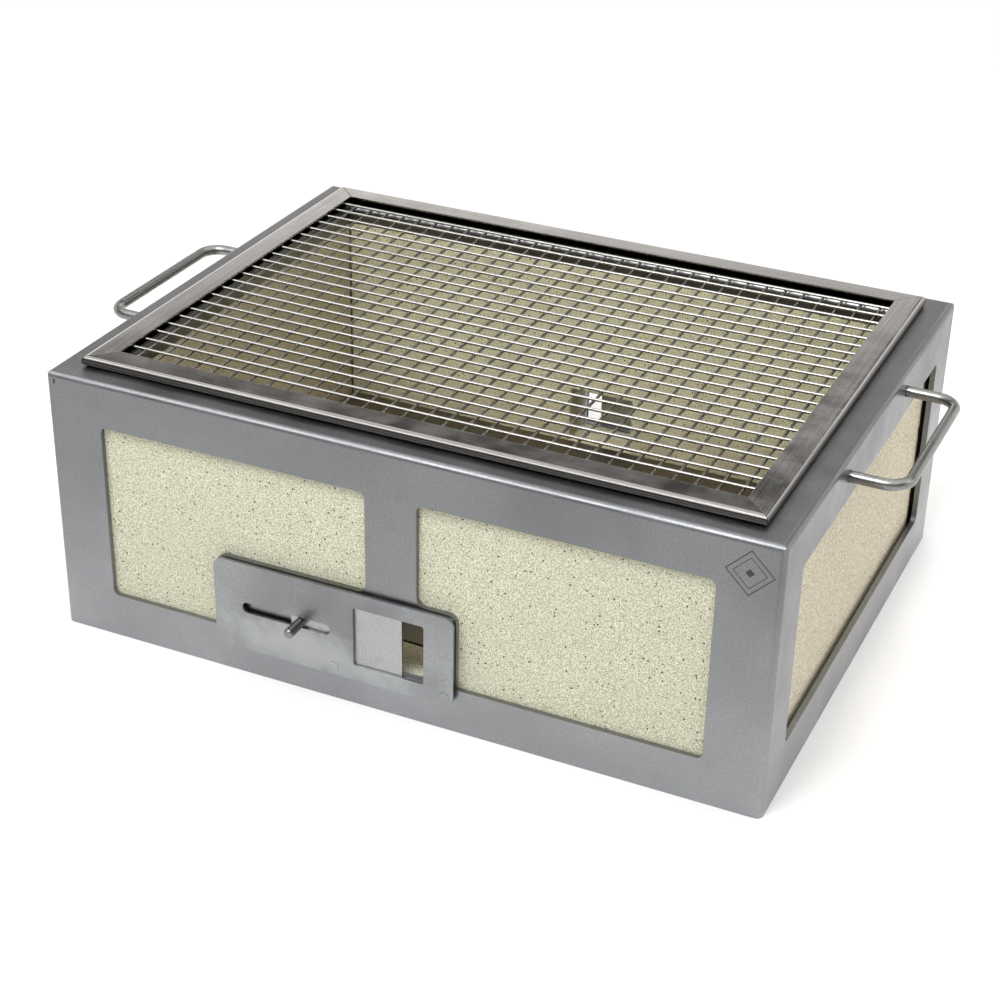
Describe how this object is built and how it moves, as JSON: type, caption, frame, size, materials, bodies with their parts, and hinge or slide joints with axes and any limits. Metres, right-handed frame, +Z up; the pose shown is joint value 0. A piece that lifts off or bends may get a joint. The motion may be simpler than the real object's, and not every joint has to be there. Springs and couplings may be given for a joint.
{
  "type": "hibachi grill",
  "caption": "Rectangular table-top charcoal grill: windowed steel casing lined with refractory slabs, sliding air dampers, rod handles and a lift-off wire grill.",
  "frame": {"origin": "middle of the base's underside, on the surface that the grill stands on", "axes": "+X to the right seen from the front damper, along the long side with the handles at both ends; +Y from the front wall to the rear wall; +Z up through the wire grill"},
  "size_m": [0.462, 0.338, 0.1578],
  "materials": {
    "casing_steel": "satin, finely scuffed",
    "cover_steel": "satin, finely scuffed",
    "shutter_steel": "smooth satin",
    "handle_steel": "polished rod",
    "rail_steel": "brushed along its length, with scuffs",
    "wire_steel": "bright drawn wire",
    "floor_steel": "dark, heat-browned",
    "refractory": "matt cream refractory with dark grog specks"
  },
  "bodies": {
    "case": {"casing": "casing_steel", "base_tray": "casing_steel", "floor_slab": "refractory", "front_slab": "refractory", "rear_slab": "refractory", "left_slab": "refractory", "right_slab": "refractory", "left_handle": "handle_steel", "right_handle": "handle_steel", "left_handle_welds": "casing_steel", "right_handle_welds": "casing_steel", "front_cover_plate": "cover_steel", "front_upper_guide": "cover_steel", "front_lower_guide": "cover_steel", "front_plug_welds": "cover_steel", "rear_cover_plate": "cover_steel", "rear_upper_guide": "cover_steel", "rear_lower_guide": "cover_steel", "rear_plug_welds": "cover_steel"},
    "floor_plate": {"floor_plate": "floor_steel"},
    "front_shutter": {"front_shutter": "shutter_steel", "front_pull_pin": "handle_steel"},
    "rear_shutter": {"rear_shutter": "shutter_steel", "rear_pull_pin": "handle_steel"},
    "grill": {"grill_front_rail": "rail_steel", "grill_rear_rail": "rail_steel", "grill_left_rail": "rail_steel", "grill_right_rail": "rail_steel", "long_wires": "wire_steel", "cross_wires": "wire_steel"}
  },
  "joints": [
    {"name": "front_damper", "type": "slide", "parent": "case", "child": "front_shutter", "axis": [1, 0, 0], "range_m": [-0.0312, 0.0142]},
    {"name": "rear_damper", "type": "slide", "parent": "case", "child": "rear_shutter", "axis": [-1, 0, 0], "range_m": [-0.0347, 0.0107]},
    {"name": "grill_lift", "type": "slide", "parent": "case", "child": "grill", "axis": [0, 0, 1], "range_m": [0, 0.1]},
    {"name": "floor_plate_lift", "type": "slide", "parent": "case", "child": "floor_plate", "axis": [0, 0, 1], "range_m": [0, 0.12]}
  ]
}
